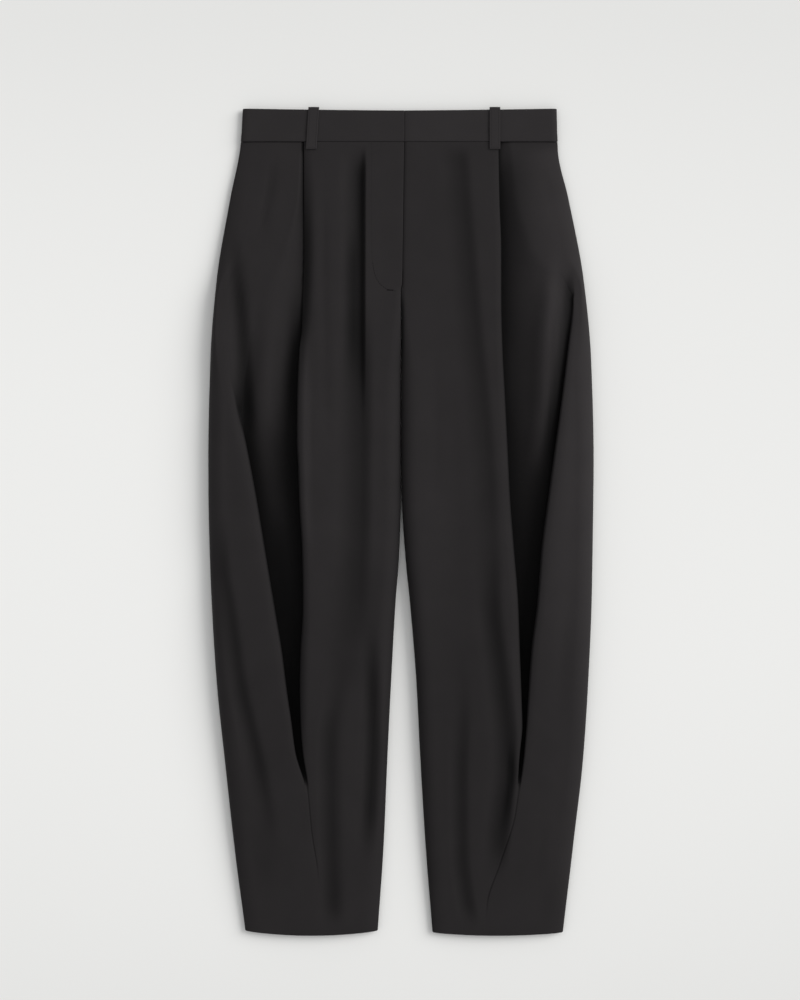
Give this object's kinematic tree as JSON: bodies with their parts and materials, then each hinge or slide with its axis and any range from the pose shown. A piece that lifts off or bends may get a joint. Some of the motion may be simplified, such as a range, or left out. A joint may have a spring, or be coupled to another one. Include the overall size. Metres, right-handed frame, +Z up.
{
  "type": "barrel leg trousers",
  "caption": "Tailored trousers laid flat, front up, with legs that swell at the thigh, a deep open pleat and tuck on each front, a fly, a plain waistband and belt loops.",
  "frame": {"origin": "centre of the footprint, on the surface that the trousers lie on", "axes": "+Z up from that surface, out of the front; +Y from the hems to the waist; +X to the wearer's left"},
  "size_m": [0.466, 1.0018, 0.025],
  "materials": {
    "front_cloth": "dull fine worsted, charcoal black",
    "back_cloth": "dull fine worsted, charcoal black",
    "waistband_cloth": "dull fine worsted, charcoal black, firmly pressed",
    "belt_loop_cloth": "dull fine worsted, charcoal black, edge-stitched"
  },
  "bodies": {
    "root": {"front_right": "front_cloth", "front_left": "front_cloth", "back_right": "back_cloth", "back_left": "back_cloth", "waistband_front_right": "waistband_cloth", "waistband_front_left": "waistband_cloth", "waistband_back": "waistband_cloth", "belt_loop_front_right": "belt_loop_cloth", "belt_loop_front_left": "belt_loop_cloth", "belt_loop_back_right": "belt_loop_cloth", "belt_loop_back_left": "belt_loop_cloth", "belt_loop_back_centre": "belt_loop_cloth"}
  },
  "joints": []
}
